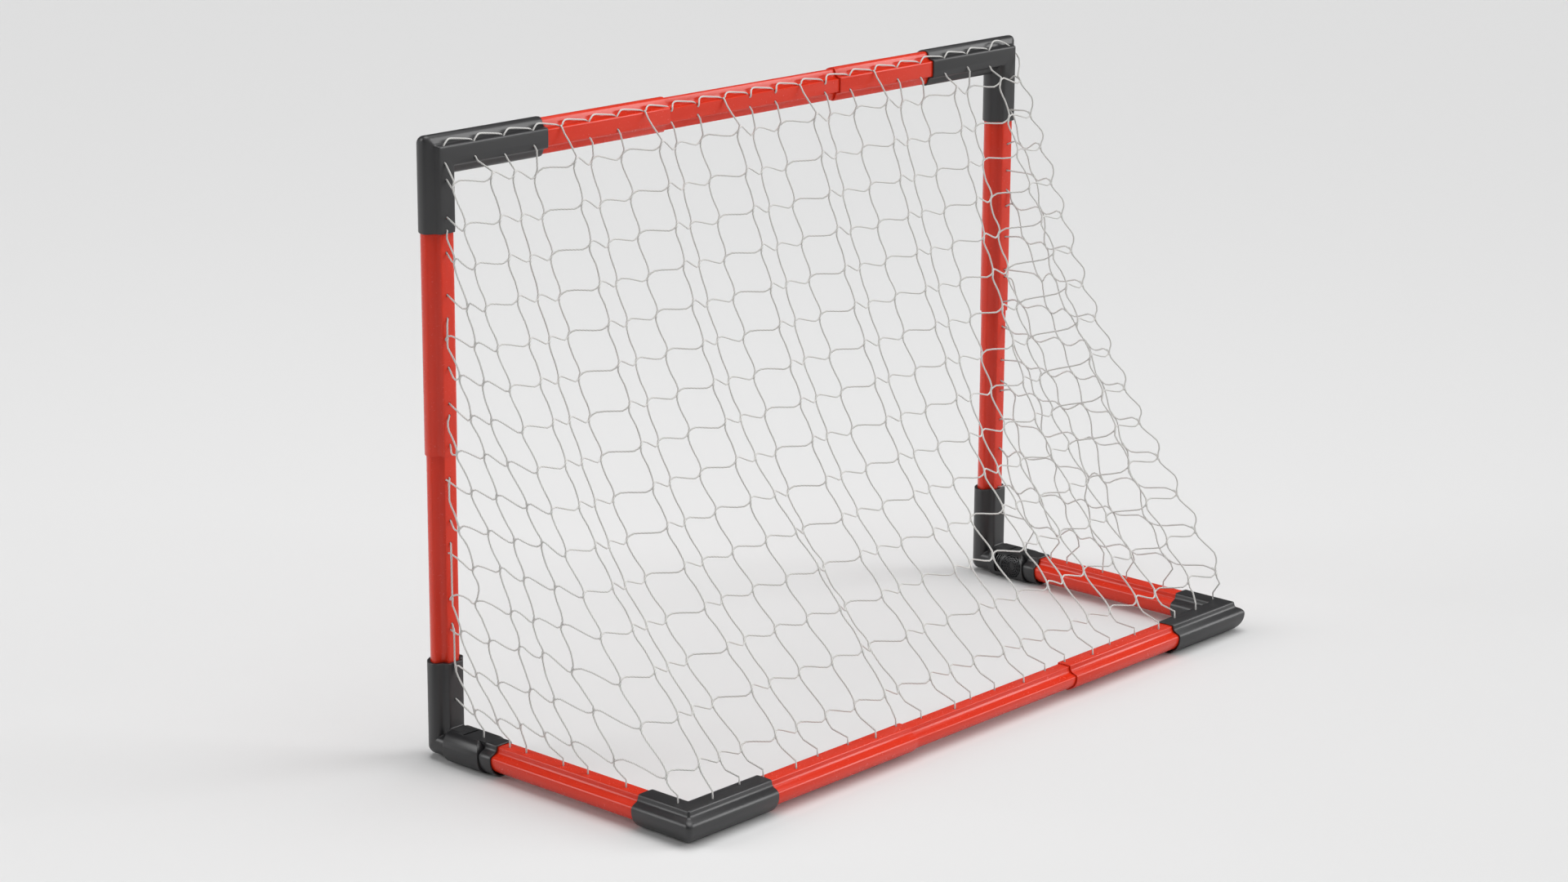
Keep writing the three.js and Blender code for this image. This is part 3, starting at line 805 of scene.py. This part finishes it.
# hinge, in mm from the pivot
hinge = {
    "cheekEnd": 20.0, "cheekRound": 20.3, "tongueHalf": 13.0, "tongueRadius": 18.5, "tongueTop": 17.6,
    "tongueCorner": 25.0, "gap": 0.7, "pin": 5.0, "pinGap": 0.1, "recess": 17.5, "recessRound": 18.0,
    "webEnd": 31.0, "webHalf": 13.5, "ribTop": 25.0, "spokes": 16,
    "rings": (5.4, 8.4, 11.4, 14.4, 17.2), "ribHalf": 0.55,
    "arcs": ((21.4, 146, 214), (24.8, 150, 210), (28.2, 154, 206)),  # radius, from and to angle
    "shoulder": 21.0, "mouth": 41.0,
}


# A low wall on an arc: box section carried along the circle (y + r cos a, z + r sin a).
def ribRing(y, z, radius, x0, x1, start=0.0, stop=360.0):
    full = stop - start >= 360
    a = np.radians(np.linspace(start, stop, 49 if full else 15)[:-1 if full else None])
    offsets = [(radius - hinge["ribHalf"], x0), (radius + hinge["ribHalf"], x0),
               (radius + hinge["ribHalf"], x1), (radius - hinge["ribHalf"], x1)]
    points = np.stack([np.stack([np.full_like(a, h), y + r * np.cos(a), z + r * np.sin(a)], 1)
                       for r, h in offsets], 1)
    return points.reshape(-1, 3), gridFaces(len(a), 4, closed=full), points.reshape(-1, 3)


# A low straight wall from inner to outer radius at an angle.
def ribBar(y, z, inner, outer, angle, x0, x1):
    c, s = math.cos(math.radians(angle)), math.sin(math.radians(angle))
    order = [(inner, -1, x0), (inner, 1, x0), (inner, 1, x1), (inner, -1, x1),
             (outer, -1, x0), (outer, 1, x0), (outer, 1, x1), (outer, -1, x1)]
    points = np.array([[h, y + r * c - t * hinge["ribHalf"] * s, z + r * s + t * hinge["ribHalf"] * c]
                       for r, t, h in order])
    return points, gridFaces(2, 4), points


for side, label in ((-1, "Left"), (1, "Right")):
    node = "_" + label.lower()
    x, outward = side * postX, axisVector(side, 0, 0)
    foot = makeConnector("bottomCorner" + label, axisVector(x, postY, baseZ), (-axisY, -axisZ), axisX,
                         (bottomLegZ - baseZ, 32.0), (thinSocket, None), footShape)
    section = chaikin(mirrored(np.array(barrel["half"])))
    stations = [(postY + 17.5, 0.6), (postY + 18.5, 0.0), (pivotY + hinge["cheekEnd"] - 0.8, 0.0),
                (pivotY + hinge["cheekEnd"] - 0.25, 0.25), (pivotY + hinge["cheekEnd"], 0.8)]
    rings = np.stack([ringAt(axisVector(x, y, baseZ), section * (1 - d / 25), axisX, axisZ)
                      for y, d in stations])
    barrelRound = makePiece("tool", rings.reshape(-1, 3), gridFaces(len(rings), len(section)), blackPlastic)
    slotLow = pivotZ - hinge["tongueRadius"] - hinge["gap"]
    wide = hinge["tongueHalf"] + rail["clearance"]
    reach = hinge["tongueCorner"] + hinge["gap"]
    slot = plate("tool", [*arcPoints(pivotY, pivotZ, reach, 134, 228, 17), [pivotY - 15, slotLow],
                          [pivotY + 30, slotLow], [pivotY + 30, 60], [pivotY - reach * 0.695, 60]],
                 x - wide, x + wide)
    edge = plate("tool", [*arcPoints(pivotY, pivotZ, hinge["cheekRound"], 10, 90, 17), [pivotY, pivotZ + 30],
                          [pivotY + 30, pivotZ + 30], [pivotY + 30, pivotZ + 3.5]], x - 40, x + 40)
    face, floor = x - side * 30, x - side * hinge["recess"]
    pocketRound = plate("tool", arcPoints(pivotY, pivotZ, hinge["recessRound"], 0, 360, 49)[:-1], face, floor)
    a = arcPoints(pivotY, pivotZ, hinge["recessRound"] + 1.6, 140, 220, 13)
    webY = pivotY - hinge["webEnd"]
    pocket = plate("tool", [*a, [webY, pivotZ - hinge["webHalf"]], [webY, pivotZ + hinge["webHalf"]]],
                   face, floor)
    bore = plate("tool", arcPoints(pivotY, pivotZ, hinge["pin"] + hinge["pinGap"], 0, 360, 33)[:-1],
                 x - side * 40, x + side * 21)
    carve(foot, [(barrelRound, "UNION"), *[(t, "DIFFERENCE") for t in (slot, edge, pocketRound, pocket, bore)]])
    settle(foot, "bottom_corner" + node, "front_frame", ("post", "base"))

    # ribs cored into the inner cheek: rings and spokes round the pin, arcs and a web toward the post
    x0, x1 = x - side * (hinge["recess"] - 0.3), x - side * hinge["ribTop"]
    ribs = [ribRing(pivotY, pivotZ, r, x0, x1) for r in hinge["rings"]]
    ribs += [ribRing(pivotY, pivotZ, *arc[:1], x0, x1, *arc[1:]) for arc in hinge["arcs"]]
    ribs += [ribBar(pivotY, pivotZ, hinge["rings"][0], hinge["rings"][-1], 360 * k / hinge["spokes"], x0, x1)
             for k in range(hinge["spokes"])]
    ribs += [ribBar(pivotY, pivotZ, 19.0, 31.5, 180, x0, x1)]
    points, faces, lay = gather(ribs)
    ribPiece = makePiece("cheekRibs" + label, points, faces, blackPlastic)
    # cut to the barrel's round, just under its skin
    rings = np.stack([ringAt(axisVector(x, y, baseZ), section * 0.985, axisX, axisZ)
                      for y in (pivotY - 34, pivotY + hinge["cheekEnd"] - 0.5)])
    under = makePiece("tool", rings.reshape(-1, 3), gridFaces(len(rings), len(section)), blackPlastic)
    carve(ribPiece, [(under, "INTERSECT")], crossing=True)
    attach(ribPiece, "front_frame")

    h0, h1 = hinge["ribTop"] - 0.6, -20.7
    profile = [(h0, 0.01), (h0, 4.2), (h0 - 0.3, 4.8), (h0 - 0.8, hinge["pin"]), (h1, hinge["pin"]), (h1, 0.01)]
    pin = revolve("hingePin" + label, profile, axisVector(x, pivotY, pivotZ), -outward, axisY, axisZ, 48,
                  pinPlastic)
    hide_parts("hinge_pin" + node)
    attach(pin, "front_frame")

    # swivel: a tongue between the cheeks and the cup for the side tube
    y0, y1 = pivotY + hinge["shoulder"], pivotY + hinge["mouth"]
    stations = [(y0, 1.0), (y0 + 0.3, 0.3), (y0 + 1.0, 0.0), *[(t, i) for t, i in lipStations(y1, 0.0, 0.9)],
                (y1, tubeBore - 0.3), (y1 - 0.4, tubeBore), (y0 + 3, tubeBore)]
    rings = np.stack([ringAt(axisVector(x, y, baseZ), railSection(i, rail["footDepth"]), axisX, axisZ)
                      for y, i in stations])
    swivel = makePiece("swivelSocket" + label, rings.reshape(-1, 3), gridFaces(len(rings), rings.shape[1]),
                       blackPlastic)
    tongue = plate("tool", [[y0 + 1, pivotZ + hinge["tongueTop"]], [pivotY - 16.6, pivotZ + hinge["tongueTop"]],
                            [pivotY - 17.5, pivotZ + hinge["tongueTop"] - 0.9],
                            *arcPoints(pivotY, pivotZ, hinge["tongueRadius"], 162, 270, 17),
                            [y0 + 1, pivotZ - hinge["tongueRadius"]]],
                   x - hinge["tongueHalf"], x + hinge["tongueHalf"])
    bore = plate("tool", arcPoints(pivotY, pivotZ, hinge["pin"] + hinge["pinGap"], 0, 360, 33)[:-1],
                 x - 40, x + 40)
    carve(swivel, [(tongue, "UNION"), (bore, "DIFFERENCE")])
    settle(swivel, "swivel_socket" + node, "base_frame", ("base",))
print("hinges made")

# floor and light: a pale matt floor, four wide suns, a soft lamp overhead and a dim even sky
stageLook = {"floor": "#dedede", "rough": 0.6, "gleam": 0.0, "size": 30.0, "sky": "#ffffff",
             "skyStrength": 0.12}
floorMaterial = newMaterial("painted_floor")
shader = addNode(floorMaterial, "ShaderNodeBsdfPrincipled", {
    "Base Color": linearColour(stageLook["floor"]), "Roughness": stageLook["rough"],
    "Specular IOR Level": stageLook["gleam"]})
finishMaterial(floorMaterial, shader)
s = stageLook["size"]
floorMesh = bpy.data.meshes.new("floor")
floorMesh.from_pydata([(-s, -s, 0), (s, -s, 0), (s, s, 0), (-s, s, 0)], [], [(0, 1, 2, 3)])
floorMesh.materials.append(floorMaterial)
floor = bpy.data.objects.new("floor", floorMesh)
scene.collection.objects.link(floor)
floor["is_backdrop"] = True

world = bpy.data.worlds.new("sky")
world.use_nodes = True
background = world.node_tree.nodes["Background"]
background.inputs["Color"].default_value = linearColour(stageLook["sky"])
background.inputs["Strength"].default_value = stageLook["skyStrength"]
scene.world = world

lights = [
    {"name": "right", "kind": "SUN", "from": (-0.72, 0.6, 0.4), "aim": (0, 0, 0), "size": 34.0, "power": 1.45},
    {"name": "left", "kind": "SUN", "from": (0.62, -0.62, 0.42), "aim": (0, 0, 0), "size": 34.0, "power": 1.05},
    {"name": "top", "kind": "SUN", "from": (-0.15, 0.1, 1.0), "aim": (0, 0, 0), "size": 55.0, "power": 1.6},
    {"name": "fill", "kind": "SUN", "from": (0.2, 0.9, 0.6), "aim": (0, 0, 0), "size": 60.0, "power": 0.3},
    {"name": "centre", "kind": "AREA", "from": (0.1, -0.3, 3.2), "aim": (0, -0.3, 0), "size": 2.4,
     "power": 16.0},
]
for lamp in lights:
    data = bpy.data.lights.new(lamp["name"], lamp["kind"])
    data.energy = lamp["power"]
    if lamp["kind"] == "SUN":
        data.angle = math.radians(lamp["size"])
    else:
        data.shape, data.size = "DISK", lamp["size"]
    piece = bpy.data.objects.new(lamp["name"], data)
    piece.location = lamp["from"]
    piece.rotation_euler = (piece.location - Vector(lamp["aim"])).to_track_quat("Z", "Y").to_euler()
    scene.collection.objects.link(piece)
print("stage set")

low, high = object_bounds()
